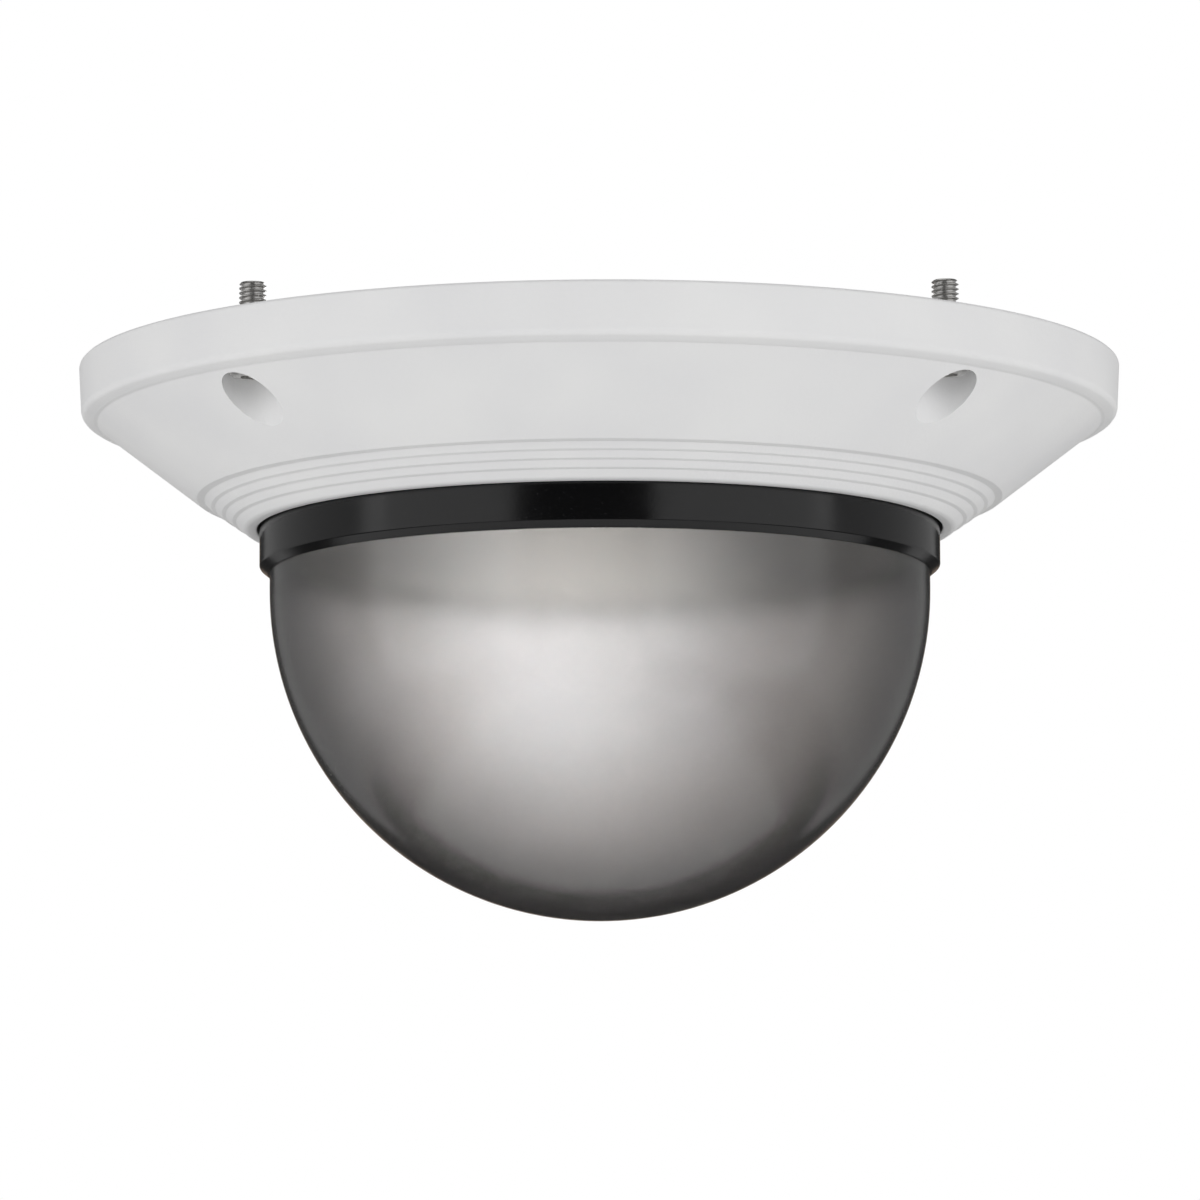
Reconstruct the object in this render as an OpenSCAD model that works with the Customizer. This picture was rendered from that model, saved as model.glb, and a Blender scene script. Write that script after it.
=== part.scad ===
// Clear-view dome cover for a ceiling dome camera, hung the way it is used.
// The origin is the centre of the rear (ceiling side) plane, +Z points into the ceiling
// and the dome hangs towards -Z. All sizes are millimetres.

/* [Bezel] */
// Outer diameter of the bezel at the rear plane
bezel_d = 160; // [140:1:200]
// Height of the near-upright outer rim wall
rim_h = 8.1; // [6:0.1:12]
// Inward draft of the outer rim wall over its height
rim_draft = 0.35; // [0:0.05:1]
// Width of the shallow foot ledge under the rim wall
foot_w = 2.5; // [1:0.1:5]
// Drop of the foot ledge over its width
foot_drop = 0.5; // [0.1:0.1:1]
// Height of the main cone below the foot ledge
cone_h = 11.65; // [8:0.05:20]
// Thickness of the cast wall, measured along Z in the cone
wall = 3.5; // [2.5:0.1:5]
// Thickness of the upright rim wall
rim_wall = 3; // [2:0.1:5]
// Clearance between the bezel's opening and the gasket sleeve
sleeve_gap = 0.35; // [0.2:0.05:2]
// Radial run from the opening to the inner edge of the lowest ledge
lip_run = 3.2; // [2:0.1:5]
// Number of terraced ledges round the opening
ledge_count = 4; // [1:1:6]
// Radial pitch of the ledges
ledge_pitch = 1.63; // [1.2:0.01:2.5]
// Drop from one ledge to the next
ledge_drop = 1.12; // [0.8:0.01:2]
// Width of a ledge
ledge_w = 0.6; // [0.3:0.05:1]
// Depth of the rounded lip below the lowest ledge
lip_drop = 1.3; // [1:0.05:3]
// Number of stiffening ribs behind the cone
rib_count = 16; // [8:8:32]
// Thickness of a rib
rib_w = 1.8; // [1:0.1:3]
// Depth of the ribs' rear edge below the rear plane
rib_sink = 3; // [1:0.1:6]

/* [Dome] */
// Outer diameter of the dome
dome_d = 101.36; // [80:0.02:104]
// Wall thickness of the dome
dome_wall = 2.8; // [2:0.1:4]
// Depth of the dome sphere's centre below the rear plane
dome_z = 34.33; // [30:0.01:45]
// Width of the clamped flanges, from the dome's neck outwards
flange_w = 9.72; // [8:0.02:11]
// Clearance between the flanges and the pocket in the bezel
pocket_clear = 0.5; // [0.2:0.1:1]
// Thickness of the dome's flange
flange_h = 3; // [2:0.1:4]
// Depth of the flange seat in the bezel below the rear plane
seat_z = 17; // [15:0.1:18]

/* [Dome gasket] */
// Depth of the gasket sleeve's lower edge below the rear plane
sleeve_z = 31.75; // [28:0.05:36]
// Thickness of the gasket sleeve
sleeve_t = 1.52; // [1:0.01:2]
// Height of the chamfer at the foot of the sleeve
sleeve_chamfer = 1.05; // [0.5:0.05:2]
// Thickness of the gasket's flange
gasket_h = 1.2; // [0.8:0.1:2]
// Clearance between the sleeve and the dome's neck
neck_clear = 0.05; // [0.02:0.01:0.2]

/* [Retainer ring] */
// Thickness of the retainer ring's plate
retainer_h = 2.5; // [2:0.1:4]
// Thickness of the liner that runs down inside the dome's neck
liner_t = 0.8; // [0.6:0.1:1.5]
// Depth of the liner's lower edge below the rear plane
liner_z = 30; // [26:0.1:33]
// Depth of the step in the liner below the rear plane
liner_step_z = 24.6; // [20:0.1:26]
// Clearance between the liner and the dome's neck
liner_clear = 0.18; // [0.05:0.01:0.5]

/* [Clamp screws] */
// Number of screws that clamp the retainer ring
clamp_count = 6; // [3:1:8]
// Distance of the clamp screws' axes from the flanges' edge
clamp_inset = 2.9; // [2.6:0.1:4.5]
// Tapping-drill diameter of the clamp screws' blind holes
clamp_core_d = 2.5; // [2:0.1:3]
// Clearance hole diameter in the clamped flanges
clamp_hole_d = 3.4; // [3.2:0.1:4]
// Length of a clamp screw under its head
clamp_len = 10; // [8:1:10]
// Depth of the blind holes below the flange seat
clamp_hole_deep = 4.2; // [3.5:0.1:4.4]
// Head diameter of a clamp screw
clamp_head_d = 5.6; // [5:0.1:6]
// Head height of a clamp screw
clamp_head_h = 2.4; // [2:0.1:3]

/* [Rear seal] */
// Thickness of the groove's inner wall
groove_in_wall = 1.2; // [1:0.1:2]
// Width of the seal groove
groove_w = 2.6; // [2:0.1:3]
// Depth of the seal groove
groove_deep = 3; // [2:0.1:4]
// Depth of the groove's rear edge below the rear plane
groove_z = 4; // [2:0.1:6]
// Thickness of the groove's outer wall
groove_out_wall = 1.2; // [1:0.1:2]
// Height of the rear seal
seal_h = 2; // [1.5:0.1:3]
// Clearance at each side of the rear seal
seal_clear = 0.1; // [0.05:0.05:0.3]
// Step from the flange pocket out to the register that the camera's chassis enters
register_step = 1.5; // [1.2:0.1:2]
// Depth of the register wall
register_h = 3.5; // [2:0.1:5]

/* [Captive screws] */
// Number of captive fixing screws
screw_count = 4; // [3:1:8]
// Distance of the captive screws' axes from the bezel's outer edge
screw_inset = 8; // [7.5:0.1:9]
// Angle of the first captive screw
screw_first = 45; // [0:5:90]
// Thread diameter of a captive screw
thread_d = 4; // [3:0.5:5]
// Length of a captive screw under its head
screw_len = 11; // [8:0.5:16]
// Stand-out of the screw tips behind the rear plane when seated
tip_out = 4.8; // [3:0.1:6]
// Thread start, measured below the rear plane
thread_sink = 0.4; // [0.1:0.1:1]
// Diameter of the relieved shank between thread and head
neck_d = 3; // [2:0.1:3.5]
// Head diameter of a captive screw
head_d = 8; // [7:0.1:10]
// Head height of a captive screw
head_h = 3.1; // [2:0.1:4]
// Point-to-point size of the six-lobe socket in the head
socket_d = 3.9; // [3:0.1:5]
// Depth of the six-lobe socket
socket_deep = 1.8; // [1:0.1:2.2]
// Diameter of the security pin in the socket
socket_pin_d = 0.9; // [0.5:0.1:1.2]
// Clearance between the screw head and its well
well_clear = 0.5; // [0.3:0.1:1.5]
// Wall of the boss round a well
boss_wall = 1.5; // [1:0.1:3]
// Clearance between the thread and the through hole under the head
through_clear = 0.15; // [0.05:0.05:0.4]
// Running clearance round the relieved shank
shank_clear = 0.08; // [0.02:0.01:0.1]
// Thickness of the sealing washer under the head
washer_h = 0.56; // [0.4:0.02:1]
// Set-in of the sealing washer's edge from the head's edge
washer_inset = 0.1; // [0:0.05:0.5]
// Gap left on each side of the sealing washer
washer_gap = 0.02; // [0.01:0.01:0.05]
// Thickness of the boss floor between head and retaining washer
floor_h = 1.4; // [1:0.1:3]
// Thickness of the retaining washer
keeper_h = 0.6; // [0.4:0.1:1]
// Width of the retaining washer's flat, from the thread outwards
keeper_w = 2.4; // [2:0.1:3]

/* [Lanyard boss] */
// Diameter of the boss for a safety lanyard
lanyard_boss_d = 7; // [6:0.1:9]
// Depth of the lanyard boss's face below the rear plane
lanyard_sink = 2; // [1:0.1:4]
// Tapping-drill diameter of the lanyard hole
lanyard_hole_d = 2.5; // [2:0.1:3.3]
// Depth of the lanyard hole
lanyard_deep = 6; // [4:0.1:7]

/* [Hidden] */
$fn = 96;
eps = 0.01;
over = 20;

bezel_r = bezel_d / 2;
dome_r = dome_d / 2;
dome_in_r = dome_r - dome_wall;
sleeve_in_r = dome_r + neck_clear;
sleeve_out_r = sleeve_in_r + sleeve_t;
opening_r = sleeve_out_r + sleeve_gap;
flange_r = dome_r + flange_w;
clamp_r = flange_r - clamp_inset;
pocket_r = flange_r + pocket_clear;
register_r = pocket_r + register_step;
groove_in_r = register_r + groove_in_wall;
groove_r = groove_in_r + groove_w / 2;
groove_out_r = groove_in_r + groove_w;
channel_r = groove_out_r + groove_out_wall;
screw_r = bezel_r - screw_inset;
well_r = head_d / 2 + well_clear;
boss_r = well_r + boss_wall;
through_r = thread_d / 2 + through_clear;
keeper_r = thread_d / 2 + keeper_w;
washer_r = head_d / 2 - washer_inset;

// Outside of the bezel, from the rim down to the opening. Z values are negative below the rear plane.
edge_chamfer = 0.4;
rim_fillet = 1.1;
foot_fillet = 0.5;
ledge_tilt = 0.2;
lip_slope = 42;
lip_fillet = 1.5;
mouth_chamfer = 0.3;
foot_z = -rim_h - foot_drop;
foot_r = bezel_r - rim_draft - foot_w;
cone_z = foot_z - cone_h;
lip_z = cone_z - (ledge_count - 1) * ledge_drop - ledge_tilt - lip_drop;
top_ledge_r = opening_r + lip_run + (ledge_count - 1) * ledge_pitch + ledge_w * 2;
cone_slope = cone_h / (foot_r - top_ledge_r);
lip_corner_r = opening_r + lip_run - lip_drop / tan(lip_slope);
lip_tangent = lip_fillet * tan(lip_slope / 2);

// Stack of the clamped dome, bottom to top
gasket_top = -seat_z + gasket_h;
flange_top = gasket_top + flange_h;
retainer_top = flange_top + retainer_h;
liner_out_r = dome_in_r - liner_clear;
liner_in_r = liner_out_r - liner_t;
liner_step = liner_t / 2;
foot_land = 0.05;

// Cross recess of a clamp screw
cross_len = clamp_head_d * 0.6;
cross_w = 0.7;
cross_deep = 1.2;

// Captive screw stack, top to bottom
head_top = tip_out - screw_len;
washer_top = head_top + washer_h + 2 * washer_gap;
floor_top = washer_top + floor_h;
keeper_top = floor_top + keeper_h;
shank_hole_r = neck_d / 2 + shank_clear;
head_chamfer = 0.1;
head_round = 0.6;
lobe_waist = 0.86;
tip_chamfer = 0.3;

// Points of an arc about [x, y] with radius r, from angle a to angle b
function arc(x, y, r, a, b, n = 5) =
    [for (i = [0 : n]) [x + r * cos(a + (b - a) * i / n), y + r * sin(a + (b - a) * i / n)]];
// The two corners of ledge i, counted from the opening outwards
function ledge(i) =
    let (r = opening_r + lip_run + i * ledge_pitch)
    let (z = cone_z - (ledge_count - 1 - i) * ledge_drop)
    let (w = i == ledge_count - 1 ? 2 * ledge_w : ledge_w)
    [[r + w, z], [r, z - ledge_tilt]];
function flatten(l) = [for (a = l) for (b = a) b];

outside = concat(
    [[bezel_r - edge_chamfer, 0], [bezel_r, -edge_chamfer]],
    arc(bezel_r - rim_draft - rim_fillet, -rim_h + rim_fillet, rim_fillet, 0, -80),
    [[foot_r + foot_fillet, foot_z + foot_fillet * foot_drop / foot_w], [foot_r, foot_z]],
    flatten([for (i = [ledge_count - 1 : -1 : 0]) ledge(i)]),
    arc(lip_corner_r - lip_tangent, lip_z + lip_fillet, lip_fillet, lip_slope - 90, -90, 6),
    [[opening_r + mouth_chamfer, lip_z], [opening_r, lip_z + mouth_chamfer]]
);

inside = [
    [opening_r, -seat_z],
    [pocket_r, -seat_z],
    [pocket_r, -groove_z - register_h],
    [register_r, -groove_z - register_h],
    [register_r, -groove_z],
    [groove_in_r, -groove_z],
    [groove_in_r, -groove_z - groove_deep],
    [groove_out_r, -groove_z - groove_deep],
    [groove_out_r, -groove_z],
    [channel_r, -groove_z],
    [channel_r, foot_z - (foot_r - channel_r) * cone_slope + wall],
    [bezel_r - rim_wall - 1, foot_z - (foot_r - bezel_r + rim_wall + 1) * cone_slope + wall],
    [bezel_r - rim_wall, foot_z + wall],
    [bezel_r - rim_wall, 0]
];

function numbered(name, count) = [for (n = [1 : count]) str(name, "_", n)];

// Places its children on captive screw axis n, counted from 1
module on_screw(n) {
    rotate([0, 0, screw_first + (n - 1) * 360 / screw_count])
        translate([screw_r, 0, 0])
            children();
}

// Places its children on clamp screw axis n, counted from 1
module on_clamp(n) {
    rotate([0, 0, (n - 1) * 360 / clamp_count])
        translate([clamp_r, 0, 0])
            children();
}

// Cylinder between two heights
module post(r, z0, z1) {
    translate([0, 0, z0])
        cylinder(r = r, h = z1 - z0);
}

// Clearance holes for the clamp screws
module clamp_holes(d, z0, z1) {
    for (n = [1 : clamp_count])
        on_clamp(n)
            post(d / 2, z0, z1);
}

// Everything within the bezel's outer surface, down to the seal channel
module envelope() {
    rotate_extrude()
        polygon(concat(outside, [[opening_r, 0]]));
}

// Radial ribs and bosses behind the cone
module stiffeners() {
    intersection() {
        envelope();
        union() {
            for (n = [1 : screw_count])
                on_screw(n)
                    post(boss_r, lip_z, 0);
            for (i = [0 : rib_count - 1])
                rotate([0, 0, (i + 0.5) * 360 / rib_count])
                    translate([channel_r - eps, -rib_w / 2, lip_z])
                        cube([bezel_r - rim_wall - channel_r + 2 * eps, rib_w, -lip_z - rib_sink]);
            rotate([0, 0, 90])
                translate([screw_r, 0, 0])
                    post(lanyard_boss_d / 2, lip_z, -lanyard_sink);
        }
    }
}

// Die-cast bezel
module bezel() {
    color("whitesmoke")
        difference() {
            union() {
                rotate_extrude()
                    polygon(concat(outside, inside));
                stiffeners();
            }
            for (n = [1 : screw_count])
                on_screw(n) {
                    post(well_r, lip_z - over, washer_top);
                    post(through_r, lip_z, over);
                    post(keeper_r, floor_top, over);
                }
            clamp_holes(clamp_core_d, -seat_z - clamp_hole_deep, -seat_z + eps);
            rotate([0, 0, 90])
                translate([screw_r, 0, 0])
                    post(lanyard_hole_d / 2, -lanyard_sink - lanyard_deep, 0);
        }
}

// Smoked dome with a straight neck and a clamping flange
module dome_bubble() {
    color([0.25, 0.24, 0.22, 0.5])
        difference() {
            rotate_extrude()
                polygon(concat(
                    [[0, -dome_z - dome_r]],
                    arc(0, -dome_z, dome_r, -88, 0, 44),
                    [[dome_r, gasket_top], [flange_r, gasket_top], [flange_r, flange_top]],
                    [[dome_in_r, flange_top]],
                    arc(0, -dome_z, dome_in_r, 0, -88, 44),
                    [[0, -dome_z - dome_in_r]]
                ));
            clamp_holes(clamp_hole_d, gasket_top - eps, flange_top + eps);
        }
}

// Black moulded gasket: a sleeve round the dome's neck and a flange under the dome's flange
module dome_gasket() {
    color("black")
        difference() {
            rotate_extrude()
                polygon([
                    [sleeve_in_r, gasket_top],
                    [sleeve_in_r, -sleeve_z],
                    [sleeve_in_r + foot_land, -sleeve_z],
                    [sleeve_out_r, -sleeve_z + sleeve_chamfer],
                    [sleeve_out_r, -seat_z],
                    [flange_r, -seat_z],
                    [flange_r, gasket_top]
                ]);
            clamp_holes(clamp_hole_d, -seat_z - eps, gasket_top + eps);
        }
}

// Retainer ring that clamps the dome's flange, with a liner down inside the neck
module retainer_ring() {
    color("gainsboro")
        difference() {
            rotate_extrude()
                polygon([
                    [liner_in_r, retainer_top],
                    [liner_in_r, -liner_step_z + liner_step],
                    [liner_in_r + liner_step, -liner_step_z],
                    [liner_in_r + liner_step, -liner_z],
                    [liner_out_r, -liner_z],
                    [liner_out_r, flange_top],
                    [flange_r, flange_top],
                    [flange_r, retainer_top]
                ]);
            clamp_holes(clamp_hole_d, flange_top - eps, retainer_top + eps);
        }
}

// Rubber seal in the rear groove, with a rounded crown
module rear_seal() {
    crown = groove_w / 2 - seal_clear;
    floor_z = -groove_z - groove_deep;
    color("dimgray")
        rotate_extrude()
            polygon(concat(
                [[groove_r - crown, floor_z], [groove_r + crown, floor_z]],
                arc(groove_r, floor_z + seal_h - crown, crown, 0, 180, 8)
            ));
}

// Pan-head screw for the retainer ring
module clamp_screw() {
    color("silver")
        difference() {
            union() {
                post(clamp_core_d / 2, retainer_top - clamp_len, retainer_top);
                translate([0, 0, retainer_top])
                    pan_head(clamp_head_d / 2, clamp_head_h);
            }
            for (a = [0, 90])
                rotate([0, 0, a])
                    translate([-cross_len / 2, -cross_w / 2, retainer_top + clamp_head_h - cross_deep])
                        cube([cross_len, cross_w, over]);
        }
}

// Pan head that stands up from Z 0, with a rounded rim
module pan_head(r, h) {
    rotate_extrude()
        polygon(concat(
            [[0, 0], [r - head_chamfer, 0], [r, head_chamfer]],
            arc(r - h * head_round, h * (1 - head_round), h * head_round, 0, 90, 6),
            [[0, h]]
        ));
}

// Six-lobe socket outline
module six_lobe() {
    waist = socket_d * lobe_waist / 2;
    amp = (socket_d / 2 - waist) / 2;
    polygon([for (a = [0 : 6 : 354]) (waist + amp + amp * cos(6 * a)) * [cos(a), sin(a)]]);
}

// Captive screw with a relieved shank, seated
module captive_screw() {
    color("darkgray") {
        difference() {
            union() {
                translate([0, 0, head_top])
                    mirror([0, 0, 1])
                        pan_head(head_d / 2, head_h);
                post(neck_d / 2, head_top, -thread_sink + eps);
                rotate_extrude()
                    polygon([
                        [0, -thread_sink],
                        [thread_d / 2, -thread_sink],
                        [thread_d / 2, tip_out - tip_chamfer],
                        [thread_d / 2 - tip_chamfer, tip_out],
                        [0, tip_out]
                    ]);
            }
            translate([0, 0, head_top - head_h - eps])
                linear_extrude(socket_deep + eps)
                    difference() {
                        six_lobe();
                        circle(d = socket_pin_d);
                    }
        }
    }
}

// Rubber sealing washer under the screw head
module sealing_washer() {
    color("black")
        ring(washer_r, head_top + washer_gap, head_top + washer_gap + washer_h);
}

// Nylon retaining washer pressed into the counterbore
module retaining_washer() {
    color("ivory")
        ring(keeper_r, floor_top, keeper_top);
}

// Flat ring with the shank's running clearance in its bore
module ring(r, z0, z1) {
    difference() {
        post(r, z0, z1);
        post(shank_hole_r, z0 - eps, z1 + eps);
    }
}

bezel();
dome_bubble();
dome_gasket();
retainer_ring();
rear_seal();
for (n = [1 : clamp_count]) on_clamp(n) clamp_screw();
for (n = [1 : screw_count]) {
    on_screw(n) captive_screw();
    on_screw(n) sealing_washer();
    on_screw(n) retaining_washer();
}
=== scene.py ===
# %% [markdown]
# # A dome cover for a ceiling camera
# The cover hangs from the ceiling with its dome down: a cast and powder-coated bezel, a black
# gasket round the neck of a smoked dome, a ring that clamps the dome from behind, and four
# captive screws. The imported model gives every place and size, so this lesson loads it first.

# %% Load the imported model
import math

import bmesh
import bpy
from mathutils import Matrix, Vector


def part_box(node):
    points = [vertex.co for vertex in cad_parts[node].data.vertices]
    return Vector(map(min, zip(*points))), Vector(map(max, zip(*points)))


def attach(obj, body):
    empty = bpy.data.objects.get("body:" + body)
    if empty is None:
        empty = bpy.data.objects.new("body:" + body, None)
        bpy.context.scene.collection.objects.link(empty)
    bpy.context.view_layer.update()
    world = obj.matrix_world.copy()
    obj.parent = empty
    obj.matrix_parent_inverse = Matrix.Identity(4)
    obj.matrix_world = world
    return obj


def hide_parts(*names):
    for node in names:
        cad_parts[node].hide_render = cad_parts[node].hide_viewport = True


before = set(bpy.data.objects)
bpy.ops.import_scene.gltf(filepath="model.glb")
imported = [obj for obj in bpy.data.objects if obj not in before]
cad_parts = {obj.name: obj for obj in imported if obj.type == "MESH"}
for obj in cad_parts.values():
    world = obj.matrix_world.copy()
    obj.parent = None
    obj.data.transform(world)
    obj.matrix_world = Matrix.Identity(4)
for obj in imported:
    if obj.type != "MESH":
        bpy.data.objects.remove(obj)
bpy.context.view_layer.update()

MM = 0.001
print("parts in the packed model:", len(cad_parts))

# %% [markdown]
# ## Camera
# A long lens from about a metre away keeps the circles calm. The camera stands a little below
# the cover and looks up at it, as a person in the room does.

# %% Camera
LENS = 210.25
CAMERA_AT = (0.0, -1066.8 * MM, -177.0 * MM)
PITCH = 97.544
ROLL = -0.204

camera_data = bpy.data.cameras.new("room_camera")
camera_data.sensor_width = 36.0
camera_data.lens = LENS
camera_data.clip_end = 20.0
camera = bpy.data.objects.new("room_camera", camera_data)
bpy.context.scene.collection.objects.link(camera)
turn = Matrix.Rotation(math.radians(PITCH), 4, "X") @ Matrix.Rotation(math.radians(ROLL), 4, "Z")
camera.matrix_world = Matrix.Translation(CAMERA_AT) @ turn
bpy.context.scene.camera = camera
print("camera at", CAMERA_AT, "lens", LENS)

# %% [markdown]
# ## Helpers for turned parts
# Nearly every part here is round, so each one starts as its section: a few corners in the XZ
# plane, joined into one flat face. Bevelling a corner's vertex gives the fillet that a mould or a
# lathe leaves. A full spin about Z then makes the closed body. Making each part from a cylinder
# and cutting it down would leave far more faces and no clean fillets.


# %% A section with fillets
def fillet(bm, corner, radius, segments):
    """Rounds one corner of a flat section. The cut along each edge is radius x tan(turn / 2)."""
    ends = [edge.other_vert(corner).co - corner.co for edge in corner.link_edges]
    turn_angle = math.pi - ends[0].angle(ends[1])
    bmesh.ops.bevel(
        bm,
        geom=[corner],
        offset=radius * math.tan(turn_angle / 2),
        offset_type="OFFSET",
        segments=segments,
        profile=0.5,
        affect="VERTICES",
        material=-1,
    )


def section(corners, segments=3):
    """A bmesh with one flat face: corners are (radius, height, fillet) in millimetres."""
    bm = bmesh.new()
    ring = [bm.verts.new((r * MM, 0, z * MM)) for r, z, _ in corners]
    bm.faces.new(ring)
    for vert, (_, _, size) in zip(ring, corners):
        if size:
            fillet(bm, vert, size * MM, segments)
    return bm


print("a section's corners are given in units of", MM, "m")

# %% [markdown]
# A full spin sweeps the outline round Z. A line that lies on the axis would only make faces of no
# size, so it is taken off first, and the seam's doubled points are merged afterwards.

# %% Full turn
WELD = 1e-7


def spin_outline(bm, steps):
    """Sweeps every line of the bmesh round Z and closes the seam."""
    bmesh.ops.spin(
        bm,
        geom=bm.verts[:] + bm.edges[:],
        cent=(0, 0, 0),
        axis=(0, 0, 1),
        angle=2 * math.pi,
        steps=steps,
        use_merge=True,
    )
    bmesh.ops.remove_doubles(bm, verts=bm.verts[:], dist=WELD)
    bmesh.ops.recalc_face_normals(bm, faces=bm.faces[:])
    return bm


def spin_section(bm, steps):
    """Turns the section's outline about Z into a closed body."""
    bmesh.ops.delete(bm, geom=bm.faces[:], context="FACES_ONLY")
    on_axis = [e for e in bm.edges if all(abs(v.co.x) < 1e-9 for v in e.verts)]
    bmesh.ops.delete(bm, geom=on_axis, context="EDGES")
    return spin_outline(bm, steps)


def to_object(bm, name):
    """Turns the bmesh into an object at the origin."""
    mesh = bpy.data.meshes.new(name)
    bm.to_mesh(mesh)
    bm.free()
    piece = bpy.data.objects.new(name, mesh)
    bpy.context.scene.collection.objects.link(piece)
    return piece


TURN_STEPS = 240


def turned(name, corners, segments=3):
    """A turned or moulded round part from its section."""
    return to_object(spin_section(section(corners, segments), TURN_STEPS), name)


print("a full turn takes", TURN_STEPS, "steps")

# %% [markdown]
# Holes, wells and ribs are added or cut with a Boolean modifier, whose result is kept as the new
# mesh. Several tools are first joined in one mesh, so that one Boolean does them all.


# %% Add and cut
def merge_tools(name, parts):
    """One object that holds the geometry of several bmeshes."""
    joined = bmesh.new()
    for part in parts:
        scratch = bpy.data.meshes.new("scratch")
        part.to_mesh(scratch)
        part.free()
        joined.from_mesh(scratch)
        bpy.data.meshes.remove(scratch)
    return to_object(joined, name)


def combine(piece, tool, operation):
    """Adds, cuts or keeps the overlap of a tool object, and then removes the tool."""
    step = piece.modifiers.new("combine", "BOOLEAN")
    step.object = tool
    step.operation = operation
    step.solver = "EXACT"
    bpy.context.view_layer.update()
    graph = bpy.context.evaluated_depsgraph_get()
    made = bpy.data.meshes.new_from_object(piece.evaluated_get(graph))
    piece.modifiers.clear()
    piece.data = made
    bpy.data.objects.remove(tool)
    return piece


def drum(radius, low, high, at=(0, 0), steps=64):
    """A closed cylinder between two heights, in millimetres."""
    bm = bmesh.new()
    bmesh.ops.create_cone(
        bm,
        cap_ends=True,
        segments=steps,
        radius1=radius * MM,
        radius2=radius * MM,
        depth=(high - low) * MM,
        matrix=Matrix.Translation((at[0] * MM, at[1] * MM, (low + high) / 2 * MM)),
    )
    return bm


def move_to(bm, place):
    """Moves the geometry sideways to a place given in millimetres."""
    bmesh.ops.translate(bm, vec=(place[0] * MM, place[1] * MM, 0), verts=bm.verts[:])
    return bm


print("Boolean helpers ready")

# %% [markdown]
# A cut leaves very thin faces beside large ones. Weighted normals let the large faces decide how
# the light falls, and an edge that turns more than a fillet's small steps stays sharp.

# %% Smooth shading and places
SHARP = math.radians(38)


def smooth(piece):
    """Smooth shading, with true corners kept and large faces kept flat."""
    bm = bmesh.new()
    bm.from_mesh(piece.data)
    bmesh.ops.dissolve_degenerate(bm, dist=WELD, edges=bm.edges[:])
    for face in bm.faces:
        face.smooth = True
    for edge in bm.edges:
        edge.smooth = not edge.is_manifold or edge.calc_face_angle(0) < SHARP
    bm.to_mesh(piece.data)
    bm.free()
    flat = piece.modifiers.new("flat_faces", "WEIGHTED_NORMAL")
    flat.keep_sharp = True
    return piece


def on_circle(radius, count, first=0.0):
    """Places evenly spaced round a circle, as (x, y) in millimetres."""
    angles = [math.radians(first + 360 / count * i) for i in range(count)]
    return [(radius * math.cos(a), radius * math.sin(a)) for a in angles]


def stand_for(piece, node_name, body, material):
    """Puts the finished piece in its CAD node's place, with its finish."""
    piece.data.materials.clear()
    piece.data.materials.append(material)
    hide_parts(node_name)
    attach(piece, body)
    print(piece.name, len(piece.data.polygons), "faces")


print("edges over", round(math.degrees(SHARP)), "degrees stay sharp")

# %% [markdown]
# ## Helpers for finishes
# Each finish is a small node tree. One function adds a node, sets it up and links it. Colours are
# written as the sRGB values that a paint chart gives, and one function turns them to linear light.


# %% Colour, node and pattern helpers
def linear(code):
    """sRGB hex to linear RGBA."""
    parts = [int(code[i : i + 2], 16) / 255 for i in (1, 3, 5)]
    return [c / 12.92 if c <= 0.04045 else ((c + 0.055) / 1.055) ** 2.4 for c in parts] + [1.0]


def add(tree, kind, inputs=None, **settings):
    """Adds a shader node. Inputs are values or the output sockets to link."""
    made = tree.nodes.new("ShaderNode" + kind)
    for key, value in settings.items():
        setattr(made, key, value)
    for key, value in (inputs or {}).items():
        if isinstance(value, bpy.types.NodeSocket):
            tree.links.new(value, made.inputs[key])
        else:
            made.inputs[key].default_value = value
    return made


def new_material(name):
    """An empty material, its tree and its object coordinates."""
    material = bpy.data.materials.new(name)
    material.use_nodes = True
    tree = material.node_tree
    tree.nodes.clear()
    place = add(tree, "TexCoord").outputs["Object"]
    return material, tree, place


def noise(place, size, detail):
    """Settings for noise whose blobs are about size millimetres across."""
    return {"Vector": place, "Scale": 1 / (size * MM), "Detail": detail}


def span(value, low, high, out_low, out_high):
    """Settings that map a value from one range to another."""
    return {0: value, 1: low, 2: high, 3: out_low, 4: out_high}


def blend(value, dark, light):
    """Settings that blend two sRGB colours by a value."""
    return {0: value, 6: linear(dark), 7: linear(light)}


def surface(tree, shader_inputs, height=None, depth=0.0):
    """A Principled surface with an optional bump, depth in millimetres."""
    inputs = dict(shader_inputs)
    if height is not None:
        bump_inputs = {"Height": height, "Distance": depth * MM, "Strength": 1.0}
        inputs["Normal"] = add(tree, "Bump", bump_inputs).outputs["Normal"]
    shader = add(tree, "BsdfPrincipled", inputs)
    add(tree, "OutputMaterial", {"Surface": shader.outputs[0]})


print("mid grey #808080 is", round(linear("#808080")[0], 3), "in linear light")

# %% [markdown]
# ## Powder-coated aluminium
# The bezel is die-cast aluminium under a white polyester powder coat. The powder melts into a
# hard satin skin with a faint orange peel about a millimetre across, and a finer grain on top.
# Real peel is a few hundredths of a millimetre deep, which is what the bump uses.


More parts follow.
